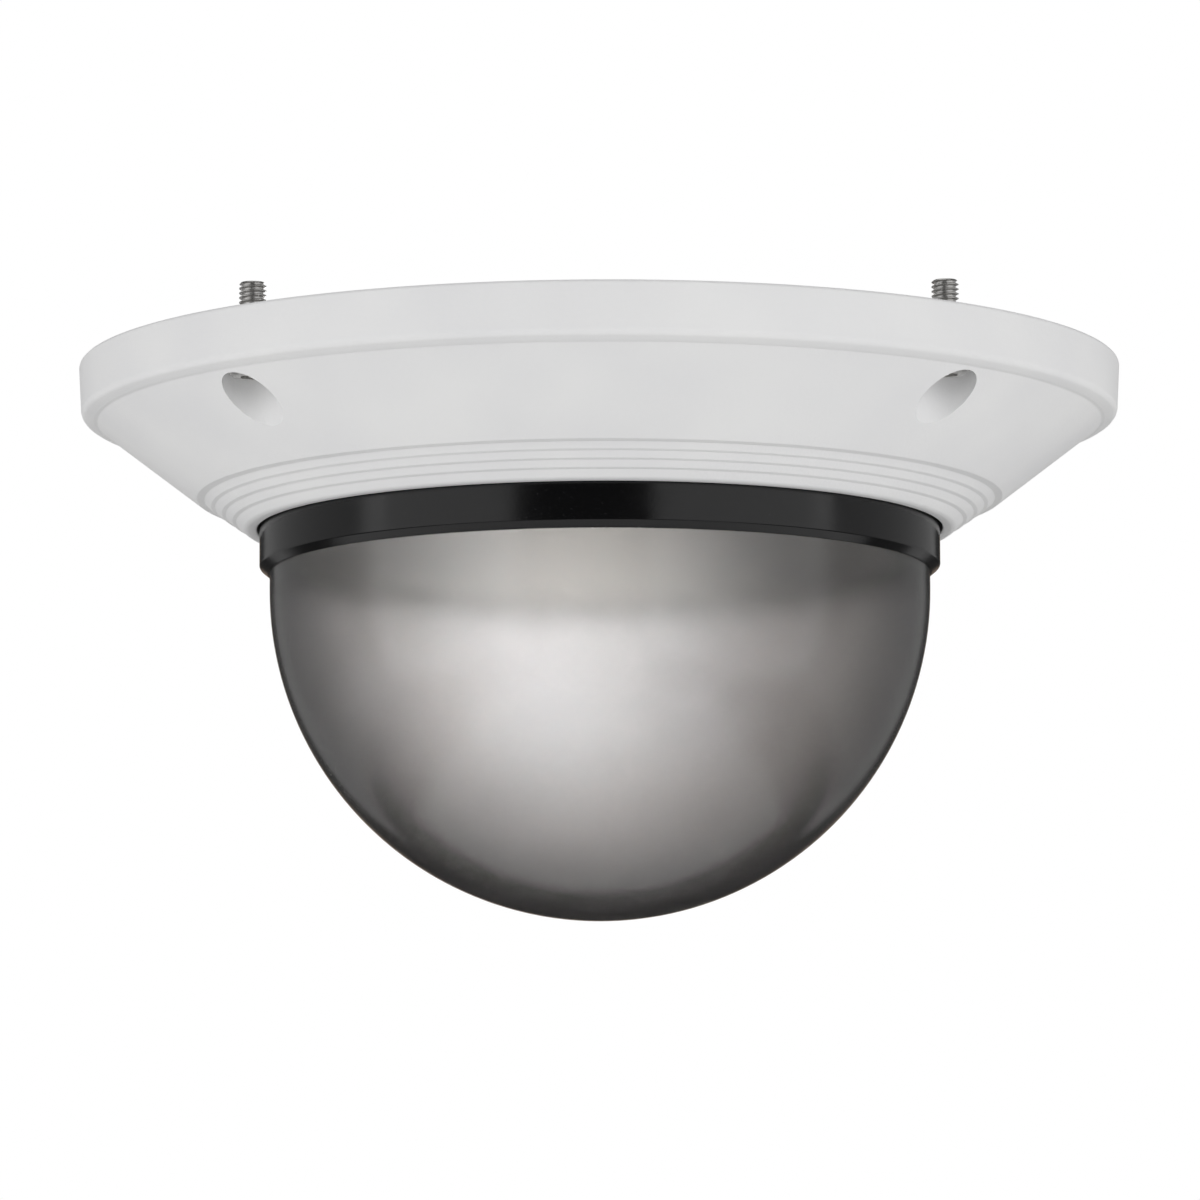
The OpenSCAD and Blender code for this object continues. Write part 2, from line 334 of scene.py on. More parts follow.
# %% Powder coat
def powder_coat():
    """White powder coat: peel and grain in the bump, faint clouds in the colour."""
    material, tree, place = new_material("powder_coated_aluminium")
    peel = add(tree, "TexNoise", noise(place, 1.6, 2.0)).outputs[0]
    fine = add(tree, "TexNoise", noise(place, 0.45, 2.0)).outputs[0]
    skin = add(tree, "Mix", {0: 0.45, 2: peel, 3: fine}).outputs[0]
    cloud = add(tree, "TexNoise", noise(place, 18.0, 1.0)).outputs[0]
    shade = add(tree, "MapRange", span(cloud, 0.3, 0.7, 0.0, 1.0)).outputs[0]
    shades = blend(shade, "#e9e9ea", "#eeeeee")
    colour = add(tree, "Mix", shades, data_type="RGBA").outputs[2]
    gloss = add(tree, "MapRange", span(peel, 0.3, 0.7, 0.46, 0.56)).outputs[0]
    looks = {"Base Color": colour, "Roughness": gloss, "IOR": 1.5}
    surface(tree, looks, skin, depth=0.055)
    return material


powder_white = powder_coat()
print("made", powder_white.name)

# %% [markdown]
# ## Smoked polycarbonate
# The dome is injection moulded from polycarbonate with a warm grey dye in it. The dye takes light
# away on each way through the wall, and a slight haze in the plastic hides what is behind it.
# A dielectric shader with a grey tint does both: the tint is the dye, the roughness is the haze.


# %% Smoked polycarbonate
def smoked_polycarbonate():
    """Grey see-through plastic with a slight haze."""
    material, tree, place = new_material("smoked_polycarbonate")
    flow = add(tree, "TexNoise", noise(place, 30.0, 1.0)).outputs[0]
    dye = add(tree, "MapRange", span(flow, 0.3, 0.7, 0.0, 1.0)).outputs[0]
    shades = blend(dye, "#a0a0a0", "#a3a2a1")
    colour = add(tree, "Mix", shades, data_type="RGBA").outputs[2]
    dust = add(tree, "TexNoise", noise(place, 2.5, 4.0)).outputs[0]
    haze = add(tree, "MapRange", span(dust, 0.35, 0.75, 0.19, 0.21)).outputs[0]
    looks = {
        "Base Color": colour,
        "Roughness": haze,
        "IOR": 1.585,
        "Transmission Weight": 1.0,
    }
    surface(tree, looks)
    return material


smoke = smoked_polycarbonate()
print("made", smoke.name)

# %% [markdown]
# ## Black gasket, liner, seal and washers
# The gasket is black moulded rubber with a dull sheen and a little dust. The clamp ring behind the
# dome is pale moulded ABS with a spark-eroded texture. The seal and the washers under the screw
# heads are EPDM foam rubber, and the retaining washers are natural nylon.


# %% Moulded plastics and rubbers
def moulded(name, dark, light, roughness, texture, depth, ior=1.5):
    """A moulded plastic or rubber with mottled colour and a fine texture, sizes in mm."""
    material, tree, place = new_material(name)
    cloud = add(tree, "TexNoise", noise(place, texture * 8, 5.0)).outputs[0]
    mottle = add(tree, "MapRange", span(cloud, 0.35, 0.65, 0.0, 1.0)).outputs[0]
    colour = add(tree, "Mix", blend(mottle, dark, light), data_type="RGBA").outputs[2]
    sheen = span(mottle, 0.0, 1.0, roughness - 0.04, roughness + 0.05)
    gloss = add(tree, "MapRange", sheen).outputs[0]
    skin = add(tree, "TexNoise", noise(place, texture, 3.0)).outputs[0]
    looks = {"Base Color": colour, "Roughness": gloss, "IOR": ior}
    surface(tree, looks, skin, depth)
    return material


def dusty_rubber():
    """Semi-gloss black rubber with fine specks of dust a fraction of a millimetre across."""
    material, tree, place = new_material("moulded_black_rubber")
    dust = add(tree, "TexNoise", noise(place, 0.3, 2.0)).outputs[0]
    speck = add(tree, "MapRange", span(dust, 0.66, 0.74, 0.0, 0.6)).outputs[0]
    shades = blend(speck, "#0a0a0b", "#2e2e30")
    colour = add(tree, "Mix", shades, data_type="RGBA").outputs[2]
    rubbed = add(tree, "TexNoise", noise(place, 6.0, 4.0)).outputs[0]
    wear = add(tree, "MapRange", span(rubbed, 0.3, 0.7, 0.14, 0.22)).outputs[0]
    skin = add(tree, "TexNoise", noise(place, 0.45, 2.0)).outputs[0]
    looks = {"Base Color": colour, "Roughness": wear, "IOR": 1.52}
    surface(tree, looks, skin, depth=0.006)
    return material


gasket_black = dusty_rubber()
liner_abs = moulded("moulded_pale_abs", "#cfccc8", "#d9d6d2", 0.5, 0.3, 0.01)
epdm = moulded("epdm_rubber", "#1b1b1c", "#242425", 0.75, 0.35, 0.03)
nylon = moulded("natural_nylon", "#d9d4c4", "#e4dfd0", 0.4, 0.5, 0.008, ior=1.53)
print("made", gasket_black.name, liner_abs.name, epdm.name, nylon.name)

# %% [markdown]
# ## Steel screws
# The captive screws are A2 stainless steel and the clamp screws are zinc plated. Cold-formed heads
# and rolled threads keep fine marks, so the roughness varies and a shallow bump breaks the glint.


# %% Steels
def steel(name, dark, light, low, high):
    """A steel whose roughness lies between low and high."""
    material, tree, place = new_material(name)
    marks = add(tree, "TexNoise", noise(place, 0.35, 4.0)).outputs[0]
    bright = add(tree, "MapRange", span(marks, 0.3, 0.7, 0.0, 1.0)).outputs[0]
    colour = add(tree, "Mix", blend(bright, dark, light), data_type="RGBA").outputs[2]
    gloss = add(tree, "MapRange", span(marks, 0.3, 0.7, low, high)).outputs[0]
    looks = {"Base Color": colour, "Roughness": gloss, "Metallic": 1.0}
    surface(tree, looks, marks, depth=0.01)
    return material


stainless = steel("stainless_steel_a2", "#dcdbd9", "#eeedeb", 0.30, 0.46)
zinc = steel("zinc_plated_steel", "#cfd1d5", "#e4e5e8", 0.32, 0.48)
print("made", stainless.name, zinc.name)

# %% [markdown]
# ## Bezel
# The casting is a thin shell: a near-upright rim, a narrow foot, a long cone, four terraced
# ledges and a rounded lip round the dome. Its section is spun in one go, with a fillet at each
# corner as the die and the thick coating give it.

# %% Bezel shell
bezel_low, bezel_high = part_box("bezel")
BEZEL_R = bezel_high.x / MM
LIP_Z = bezel_low.z / MM
RIM_R = BEZEL_R - 0.35
FOOT_R = BEZEL_R - 2.85
OPENING_R = 52.6
LEDGES = 4
LEDGE_RUN = 1.63
LEDGE_DROP = 1.12
CONE_TOP_Z = -8.6
CONE_Z = -20.25
SEAT_Z = -17.0
POCKET_R, POCKET_Z = 60.9, -7.5
REGISTER_R, REGISTER_Z = 62.4, -4.0
GROOVE_IN, GROOVE_OUT, GROOVE_Z = 63.6, 66.2, -7.0
CHANNEL_R, CHANNEL_Z = 67.4, -12.54
CAVITY_R, CAVITY_Z = 77.0, -5.1

bezel_corners = [
    (BEZEL_R, 0, 0.5),
    (RIM_R - 0.04, -7.75, 1.2),
    (FOOT_R + 0.5, CONE_TOP_Z + 0.1, 0.6),
    (FOOT_R, CONE_TOP_Z, 0.6),
]
for i in range(LEDGES - 1, -1, -1):
    tread_r = OPENING_R + 3.2 + i * LEDGE_RUN
    tread_z = CONE_Z - (LEDGES - 1 - i) * LEDGE_DROP
    tread_w = 1.2 if i == LEDGES - 1 else 0.6
    bezel_corners += [(tread_r + tread_w, tread_z, 0.45), (tread_r, tread_z - 0.2, 0.3)]
bezel_corners += [
    (OPENING_R + 1.76, LIP_Z, 1.5),
    (OPENING_R, LIP_Z, 0.3),
    (OPENING_R, SEAT_Z, 0.3),
    (POCKET_R, SEAT_Z, 0.3),
    (POCKET_R, POCKET_Z, 0.4),
    (REGISTER_R, POCKET_Z, 0.3),
    (REGISTER_R, REGISTER_Z, 0.3),
    (GROOVE_IN, REGISTER_Z, 0.3),
    (GROOVE_IN, GROOVE_Z, 0.15),
    (GROOVE_OUT, GROOVE_Z, 0.15),
    (GROOVE_OUT, REGISTER_Z, 0.3),
    (CHANNEL_R, REGISTER_Z, 0.3),
    (CHANNEL_R, CHANNEL_Z, 0.6),
    (CAVITY_R - 1, -5.98, 0.6),
    (CAVITY_R, CAVITY_Z, 0.4),
    (CAVITY_R, 0, 0.3),
]
bezel = turned("cast_bezel", bezel_corners)
print("bezel", round(2 * BEZEL_R, 2), "mm across,", len(bezel.data.polygons), "faces")

# %% [markdown]
# Behind the cone, sixteen ribs tie the rim to the seal channel, four bosses carry the fixing
# screws and a small boss takes a safety lanyard. Ribs and bosses are cut off along a slanted
# plane that runs inside the wall, so that nothing pokes through the visible cone.

# %% Ribs and bosses
CONE_DROP, CONE_RUN = 11.65, 15.26
CONE_SLOPE = math.atan2(CONE_DROP, CONE_RUN)
WALL_MID = 1.7
SCREW_R = 72.0
SCREW_PLACES = on_circle(SCREW_R, 4, 45)
SCREW_TO_FOOT = 5.15
DROP_PER_MM = 0.7634
CONE_AT_SCREW = CONE_TOP_Z - SCREW_TO_FOOT * DROP_PER_MM
BELOW_ALL = -24
RIB_IN, RIB_OUT, RIB_TOP, RIB_WIDTH = 66.9, 77.6, -3.0, 1.8
RIBS = 16
BOSS_R = 6
LANYARD_BOSS_R = 3.5


def trim_to_wall(bm, angle):
    """Cuts away what is below the middle of the cone's wall, along the plane at this angle."""
    outward = Vector((math.cos(angle), math.sin(angle), 0))
    on_plane = outward * (SCREW_R * MM) + Vector((0, 0, (CONE_AT_SCREW + WALL_MID) * MM))
    up = Vector((0, 0, 1)) * math.cos(CONE_SLOPE) - outward * math.sin(CONE_SLOPE)
    cut = bmesh.ops.bisect_plane(
        bm,
        geom=bm.verts[:] + bm.edges[:] + bm.faces[:],
        plane_co=on_plane,
        plane_no=up,
        clear_inner=True,
    )
    rim = [e for e in cut["geom_cut"] if isinstance(e, bmesh.types.BMEdge)]
    bmesh.ops.contextual_create(bm, geom=rim)
    bmesh.ops.recalc_face_normals(bm, faces=bm.faces[:])
    return bm


def rib(angle):
    """A flat rib from the seal channel to the rim wall."""
    bm = bmesh.new()
    size = ((RIB_OUT - RIB_IN) * MM, RIB_WIDTH * MM, (RIB_TOP - BELOW_ALL) * MM)
    shape = Matrix.Diagonal((*size, 1))
    middle = ((RIB_IN + RIB_OUT) / 2 * MM, 0, (RIB_TOP + BELOW_ALL) / 2 * MM)
    place = Matrix.Translation(middle)
    turn_to = Matrix.Rotation(angle, 4, "Z")
    bmesh.ops.create_cube(bm, size=1, matrix=turn_to @ place @ shape)
    return trim_to_wall(bm, angle)


stiffeners = [rib(math.radians((i + 0.5) * 360 / RIBS)) for i in range(RIBS)]
stiffeners += [
    trim_to_wall(drum(BOSS_R, BELOW_ALL, -0.01, place), math.atan2(place[1], place[0]))
    for place in SCREW_PLACES
]
lanyard_boss = drum(LANYARD_BOSS_R, BELOW_ALL, -2, (0, SCREW_R))
stiffeners.append(trim_to_wall(lanyard_boss, math.pi / 2))
combine(bezel, merge_tools("stiffeners", stiffeners), "UNION")
print("bezel with ribs and bosses:", len(bezel.data.polygons), "faces")

# %% [markdown]
# Each screw sits in a drilled well that opens on the cone. Above its floor a clearance hole and
# a counterbore leave room for the shank and for the washer that keeps the screw captive. The same
# step drills the blind holes for the clamp screws and for the lanyard.

# %% Wells and holes
FLOOR_LOW, FLOOR_HIGH = -5.6, -4.2
WELL_R = 4.5
SHANK_HOLE_R = 2.15
COUNTERBORE_R = 4.4
DRILL_FOOT, DRILL_TOP = -40, 3
PILOT_R = 1.25
CLAMP_R = 57.5
CLAMP_PLACES = on_circle(CLAMP_R, 6)


def stepped_drill(place):
    """The drill for one fixing screw: well, clearance hole and counterbore."""
    corners = [
        (0, DRILL_FOOT, 0),
        (WELL_R, DRILL_FOOT, 0),
        (WELL_R, FLOOR_LOW, 0.2),
        (SHANK_HOLE_R, FLOOR_LOW, 0),
        (SHANK_HOLE_R, FLOOR_HIGH, 0),
        (COUNTERBORE_R, FLOOR_HIGH, 0),
        (COUNTERBORE_R, DRILL_TOP, 0),
        (0, DRILL_TOP, 0),
    ]
    return move_to(spin_section(section(corners), 96), place)


drills = [stepped_drill(place) for place in SCREW_PLACES]
drills += [drum(PILOT_R, -21.2, -16.5, place, 32) for place in CLAMP_PLACES]
drills.append(drum(PILOT_R, -8, 1, (0, SCREW_R), 32))
combine(bezel, merge_tools("drills", drills), "DIFFERENCE")
smooth(bezel)
stand_for(bezel, "bezel", "cover", powder_white)

# %% [markdown]
# ## Dome
# The dome is a half sphere with a short straight neck and a flange. A quarter circle is made by
# spinning one vertex about the sphere's centre. The outer and the inner line are joined across the
# flange, and a second spin about Z turns them into a wall whose thickness is exact everywhere. Six
# holes in the flange let the clamp screws through, and the gasket and the clamp ring get the same.

# %% Smoked dome
dome_low, dome_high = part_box("dome_bubble")
DOME_R = 50.68
DOME_WALL = 2.8
FLANGE_R = dome_high.x / MM
FLANGE_TOP = dome_high.z / MM
FLANGE_LOW = FLANGE_TOP - 3
DOME_Z = dome_low.z / MM + DOME_R
DOME_STEPS = 192
ARC_STEPS = 48
SCREW_HOLE_R = 1.7


def wall_line(bm, radius, neck):
    """A line down the neck and round a quarter circle to the pole."""
    vert = bm.verts.new((radius * MM, 0, DOME_Z * MM))
    centre = (0, 0, DOME_Z * MM)
    quarter = math.pi / 2
    bmesh.ops.spin(bm, geom=[vert], cent=centre, axis=(0, 1, 0), angle=quarter, steps=ARC_STEPS)
    for r, z in neck:
        step = bm.verts.new((r * MM, 0, z * MM))
        bm.edges.new((vert, step))
        vert = step
    return vert


def dome():
    """Both walls in one line, joined across the top of the flange, and spun about Z."""
    bm = bmesh.new()
    flange = [(DOME_R, FLANGE_LOW), (FLANGE_R, FLANGE_LOW), (FLANGE_R, FLANGE_TOP)]
    outer = wall_line(bm, DOME_R, flange)
    inner = wall_line(bm, DOME_R - DOME_WALL, [(DOME_R - DOME_WALL, FLANGE_TOP)])
    bm.edges.new((outer, inner))
    return to_object(spin_outline(bm, DOME_STEPS), "smoked_dome")


def drill_for_clamp_screws(piece, low, high):
    """Six clearance holes for the clamp screws, between two heights."""
    tools = [drum(SCREW_HOLE_R, low, high, place, 32) for place in CLAMP_PLACES]
    combine(piece, merge_tools("hole_drills", tools), "DIFFERENCE")


smoked_dome = dome()
drill_for_clamp_screws(smoked_dome, -17, -11)
smooth(smoked_dome)
stand_for(smoked_dome, "dome_bubble", "cover", smoke)

# %% [markdown]
# ## Gasket, clamp ring and seal
# The gasket's sleeve is the black band between the bezel and the dome. Its flange lies under the
# dome's flange. The clamp ring presses both on their seat, and its liner runs down inside the
# neck. A rubber seal with a round crown lies in the groove on the rear.

# %% Gasket
gasket_low, gasket_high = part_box("dome_gasket")
SLEEVE_Z = gasket_low.z / MM
GASKET_TOP = gasket_high.z / MM
SLEEVE_IN, SLEEVE_OUT = 50.73, 52.25
gasket_corners = [
    (SLEEVE_IN, GASKET_TOP, 0),
    (SLEEVE_IN, SLEEVE_Z, 0.08),
    (SLEEVE_IN + 0.25, SLEEVE_Z, 0.1),
    (SLEEVE_OUT, SLEEVE_Z + 1.05, 0.35),
    (SLEEVE_OUT, SEAT_Z, 0.2),
    (FLANGE_R, SEAT_Z, 0.2),
    (FLANGE_R, GASKET_TOP, 0.2),
]
gasket = turned("dome_gasket_sleeve", gasket_corners, segments=4)
drill_for_clamp_screws(gasket, -18, -15)
smooth(gasket)
stand_for(gasket, "dome_gasket", "cover", gasket_black)

# %% Clamp ring with its liner
ring_low, ring_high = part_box("retainer_ring")
RING_TOP = ring_high.z / MM
LINER_Z = ring_low.z / MM
LINER_IN, LINER_OUT = 46.9, 47.7
STEP_Z = -24.2
ring_corners = [
    (LINER_IN, RING_TOP, 0.3),
    (LINER_IN, STEP_Z, 0),
    (LINER_IN + 0.4, -24.6, 0),
    (LINER_IN + 0.4, LINER_Z, 0.1),
    (LINER_OUT, LINER_Z, 0.1),
    (LINER_OUT, FLANGE_TOP, 0.1),
    (FLANGE_R, FLANGE_TOP, 0.3),
    (FLANGE_R, RING_TOP, 0.5),
]
clamp_ring = turned("clamp_ring_with_liner", ring_corners)
drill_for_clamp_screws(clamp_ring, -13.5, -9)
smooth(clamp_ring)
stand_for(clamp_ring, "retainer_ring", "cover", liner_abs)

# %% Rear seal
SEAL_R = 64.9
SEAL_HALF = 1.2
SEAL_TOP = -5
CROWN = 1.15
seal_corners = [
    (SEAL_R - SEAL_HALF, GROOVE_Z, 0.1),
    (SEAL_R + SEAL_HALF, GROOVE_Z, 0.1),
    (SEAL_R + SEAL_HALF, SEAL_TOP, CROWN),
    (SEAL_R - SEAL_HALF, SEAL_TOP, CROWN),
]
rear_seal = turned("rear_seal_ring", seal_corners, segments=6)
smooth(rear_seal)
stand_for(rear_seal, "rear_seal", "cover", epdm)

# %% [markdown]
# ## Clamp screws
# Six pan-head screws hold the clamp ring. The head is spun from its section and a cross recess
# is cut into it with two crossed blades that narrow towards their tips, as the punch does.


# %% Clamp screws
BLADE = (3.2 * MM, 0.75 * MM, 2.4 * MM)
BLADE_TIP = (0.45, 0.7, 1)
CLAMP_SHANK_R, CLAMP_HEAD_R = 1.25, 2.8
CLAMP_LENGTH, CLAMP_HEAD_H = 10, 2.4


def cross_punch(place, top):
    """Two tapered blades for a cross recess."""
    blades = []
    for angle in (0, math.pi / 2):
        bm = bmesh.new()
        bmesh.ops.create_cube(bm, size=1, matrix=Matrix.Diagonal((*BLADE, 1)))
        foot = [v for v in bm.verts if v.co.z < 0]
        bmesh.ops.scale(bm, vec=BLADE_TIP, verts=foot)
        turn_to = Matrix.Rotation(angle, 3, "Z")
        bmesh.ops.rotate(bm, cent=(0, 0, 0), matrix=turn_to, verts=bm.verts[:])
        at = (place[0] * MM, place[1] * MM, top * MM)
        bmesh.ops.translate(bm, vec=at, verts=bm.verts[:])
        blades.append(bm)
    return blades


def clamp_screw(number, place):
    """One M3 pan-head screw that stands on the clamp ring."""
    top = RING_TOP + CLAMP_HEAD_H
    corners = [
        (0, RING_TOP - CLAMP_LENGTH, 0),
        (CLAMP_SHANK_R, RING_TOP - CLAMP_LENGTH, 0.3),
        (CLAMP_SHANK_R, RING_TOP, 0),
        (CLAMP_HEAD_R, RING_TOP, 0.1),
        (CLAMP_HEAD_R, RING_TOP + 1.3, 0.3),
        (CLAMP_HEAD_R - 0.6, top - 0.25, 0.5),
        (0, top, 0),
    ]
    bm = move_to(spin_section(section(corners), 48), place)
    screw = to_object(bm, f"clamp_screw_pan_{number}")
    for blade in cross_punch(place, top):
        combine(screw, merge_tools("blade", [blade]), "DIFFERENCE")
    smooth(screw)
    stand_for(screw, f"clamp_screw_{number}", "cover", zinc)


for number, place in enumerate(CLAMP_PLACES, 1):
    clamp_screw(number, place)

# %% [markdown]
# ## Captive screws
# Each fixing screw is an M4 with a 0.7 mm pitch. The thread is one tooth's outline, swept up a
# helix by a spin that also climbs. Cutting it flat and keeping only what lies inside the blank
# gives the run-out and the chamfered tip that a rolled thread has.

# %% Thread on its blank
PITCH_MM = 0.7
THREAD_R = 2.0
ROOT_R = 1.57
TIP = 4.8
THREAD_START = -2.1
THREAD_TURNS = 12
THREAD_STEPS = 36
SHANK_R = 1.5
HEAD_TOP = -6.2
TOOTH = [
    (ROOT_R, 0),
    (ROOT_R, 0.09),
    (THREAD_R, 0.31),
    (THREAD_R, 0.4),
    (ROOT_R, 0.61),
    (ROOT_R, PITCH_MM),
]


def thread():
    """A threaded rod, longer than it needs to be, closed at both ends."""
    bm = bmesh.new()
    line = [bm.verts.new((r * MM, 0, (THREAD_START + z) * MM)) for r, z in TOOTH]
    edges = [bm.edges.new(pair) for pair in zip(line, line[1:])]
    bmesh.ops.spin(
        bm,
        geom=line + edges,
        cent=(0, 0, 0),
        axis=(0, 0, 1),
        dvec=(0, 0, PITCH_MM * MM / THREAD_STEPS),
        angle=THREAD_TURNS * 2 * math.pi,
        steps=THREAD_TURNS * THREAD_STEPS,
        use_merge=False,
    )
    bmesh.ops.remove_doubles(bm, verts=bm.verts[:], dist=1e-6)
    for height, up in ((-1.0, True), (TIP + 0.3, False)):
        bmesh.ops.bisect_plane(
            bm,
            geom=bm.verts[:] + bm.edges[:] + bm.faces[:],
            plane_co=(0, 0, height * MM),
            plane_no=(0, 0, 1),
            clear_inner=up,
            clear_outer=not up,
        )
    bmesh.ops.holes_fill(bm, edges=[e for e in bm.edges if e.is_boundary], sides=0)
    bmesh.ops.recalc_face_normals(bm, faces=bm.faces[:])
    return to_object(bm, "thread")


def blank():
    """What the thread is rolled on: a plain rod with a chamfered tip and a run-out."""
    corners = [
        (0, -0.8, 0),
        (SHANK_R, -0.8, 0),
        (SHANK_R, -0.45, 0),
        (THREAD_R, -0.4, 0),
        (THREAD_R, TIP - 0.3, 0),
        (THREAD_R - 0.3, TIP, 0),
        (0, TIP, 0),
    ]
    return to_object(spin_section(section(corners), 72), "blank")


threaded = combine(thread(), blank(), "INTERSECT")
print("thread:", len(threaded.data.polygons), "faces")

# %% [markdown]
# The head faces down into its well. It is a pan head with a six-lobe socket and a small pin, so
# that only the right bit turns it. The socket's outline is a circle whose points are pulled in
# and out six times round.

# %% Screw head and socket
HEAD_R = 4.0
HEAD_H = 3.1
SOCKET_R = 1.95
SOCKET_DEPTH = 1.8
LOBES = 6
LOBE_DEPTH = 0.14
PIN_R = 0.45


def head():
    """Head and relieved shank in one section."""
    low = HEAD_TOP - HEAD_H
    corners = [
        (0, low, 0),
        (HEAD_R - 0.9, low, 1.2),
        (HEAD_R, low + 1.7, 0.5),
        (HEAD_R, HEAD_TOP, 0.12),
        (SHANK_R, HEAD_TOP, 0),
        (SHANK_R, -0.3, 0),
        (0, -0.3, 0),
    ]
    return to_object(spin_section(section(corners), 72), "head")


def socket():
    """The punch for the six-lobe socket, with a hole where the pin stays."""
    face = HEAD_TOP - HEAD_H
    bm = drum(SOCKET_R, face - 1, face + SOCKET_DEPTH, steps=72)
    for vert in bm.verts:
        angle = math.atan2(vert.co.y, vert.co.x)
        lobe = 1 - LOBE_DEPTH * (0.5 - 0.5 * math.cos(LOBES * angle))
        vert.co.x *= lobe
        vert.co.y *= lobe
    punch = to_object(bm, "punch")
    return combine(punch, merge_tools("pin", [drum(PIN_R, -12, 0, steps=24)]), "DIFFERENCE")


screw_head = combine(head(), socket(), "DIFFERENCE")
pattern = combine(screw_head, threaded, "UNION")
print("screw:", len(pattern.data.polygons), "faces")

# %% [markdown]
# The one finished screw is copied to four places, each turned a little further, as screws stop
# where they will. A rubber washer seals under each head. A nylon washer in the counterbore is
# narrower than the thread, so the loosened screw can't fall out.

# %% Four captive screws with their washers
WASHER_BORE = 1.58
SEAL_WASHER_R, SEAL_WASHER_LOW, SEAL_WASHER_HIGH = 3.9, HEAD_TOP + 0.02, HEAD_TOP + 0.58
KEEPER_HIGH = FLOOR_HIGH + 0.6
SCREW_TURN = 0.9


def washer(name, outer, low, high, place, rounding):
    """A flat washer with a rounded rim."""
    corners = [
        (WASHER_BORE, low, 0),
        (outer, low, rounding),
        (outer, high, rounding),
        (WASHER_BORE, high, 0),
    ]
    bm = move_to(spin_section(section(corners), 64), place)
    return smooth(to_object(bm, name))


for number, place in enumerate(SCREW_PLACES, 1):
    screw = bpy.data.objects.new(f"captive_screw_m4_{number}", pattern.data.copy())
    bpy.context.scene.collection.objects.link(screw)
    at = Matrix.Translation((place[0] * MM, place[1] * MM, 0))
    screw.data.transform(at @ Matrix.Rotation(SCREW_TURN * number, 4, "Z"))
    smooth(screw)
    stand_for(screw, f"captive_screw_{number}", f"screw_{number}", stainless)
    seal_heights = (SEAL_WASHER_LOW, SEAL_WASHER_HIGH)
    seal = washer(f"sealing_washer_ring_{number}", SEAL_WASHER_R, *seal_heights, place, 0.15)
    stand_for(seal, f"sealing_washer_{number}", f"washer_{number}", epdm)
    keeper_heights = (FLOOR_HIGH, KEEPER_HIGH)
    keeper = washer(f"retaining_washer_ring_{number}", COUNTERBORE_R, *keeper_heights, place, 0.1)
    stand_for(keeper, f"retaining_washer_{number}", "cover", nylon)
bpy.data.objects.remove(pattern)

# %% [markdown]
# ## Studio
# The floor is pale and plain and lies well below. A glowing panel stands far behind and lights the
# dome through its own wall, brightest in one spot. The camera doesn't see the panel itself, only
# the light that comes through the dome.


# %% Floor and glowing panel
def flat_stage(name, material, width, depth, place, tilt=0.0):
    """A flat sheet for the stage."""
    bm = bmesh.new()
    bmesh.ops.create_grid(bm, x_segments=1, y_segments=1, size=0.5)
    bmesh.ops.scale(bm, vec=(width, depth, 1), verts=bm.verts[:])
    lean = Matrix.Rotation(tilt, 3, "X")
    bmesh.ops.rotate(bm, cent=(0, 0, 0), matrix=lean, verts=bm.verts[:])
    bmesh.ops.translate(bm, vec=place, verts=bm.verts[:])
    sheet = to_object(bm, name)
    sheet.data.materials.append(material)
    return sheet


def floor_material():
    """Pale matt paint with very wide, faint clouds."""
    material, tree, place = new_material("pale_studio_floor")
    cloud = add(tree, "TexNoise", noise(place, 400.0, 1.0)).outputs[0]
    shades = blend(cloud, "#ebebea", "#f1f1f0")
    colour = add(tree, "Mix", shades, data_type="RGBA").outputs[2]
    surface(tree, {"Base Color": colour, "Roughness": 0.8})
    return material


GLOW_AT = (-0.036, 1.5, 0.122)
GLOW_SIGMA = 0.058
GLOW_SQUASH = 0.75
GLOW_PEAK = 18.5
GLOW_BASE = 0.35
FLOOR_Z = -1.3
PANEL_AT = (0, 1.5, 0.163)
PANEL_SIZE = 0.62


def glow_material():
    """A glow that fades from one spot like a bell curve and turns warmer as it fades."""
    material, tree, place = new_material("glowing_panel")
    offset = add(tree, "VectorMath", {0: place, 1: GLOW_AT}, operation="SUBTRACT").outputs[0]
    squash = {0: offset, 1: (1, 1, GLOW_SQUASH)}
    squashed = add(tree, "VectorMath", squash, operation="MULTIPLY").outputs[0]
    away = add(tree, "VectorMath", {0: squashed}, operation="LENGTH").outputs["Value"]
    spread = GLOW_SIGMA * math.sqrt(2)
    share = add(tree, "Math", {0: away, 1: spread}, operation="DIVIDE").outputs[0]
    square = add(tree, "Math", {0: share, 1: 2.0}, operation="POWER").outputs[0]
    fade = add(tree, "Math", {0: square, 1: -1.0}, operation="MULTIPLY").outputs[0]
    bell = add(tree, "Math", {0: math.e, 1: fade}, operation="POWER").outputs[0]
    boost = {0: bell, 1: GLOW_PEAK, 2: GLOW_BASE}
    strength = add(tree, "Math", boost, operation="MULTIPLY_ADD").outputs[0]
    whiteness = add(tree, "MapRange", span(bell, 0.0, 0.35, 0.0, 1.0)).outputs[0]
    shades = blend(whiteness, "#f4dcc8", "#fefdff")
    colour = add(tree, "Mix", shades, data_type="RGBA").outputs[2]
    glow = add(tree, "Emission", {"Color": colour, "Strength": strength})
    add(tree, "OutputMaterial", {"Surface": glow.outputs[0]})
    return material


floor = flat_stage("floor", floor_material(), 8, 8, (0, 0, FLOOR_Z))
floor.visible_glossy = False
floor.visible_transmission = False
upright = math.radians(90)
panel = flat_stage("glow_panel", glow_material(), PANEL_SIZE, PANEL_SIZE, PANEL_AT, upright)
panel.visible_camera = False
print("glow strength at its peak:", GLOW_PEAK + GLOW_BASE)

# %% [markdown]
# Two large soft boxes stand in front to the left and the right, with a dark gap between them that
# the black band mirrors. Weaker panels at the sides, one above and one below give the dome and
# the band soft edges. Two key lights that no mirror sees model the wells and the ledges.


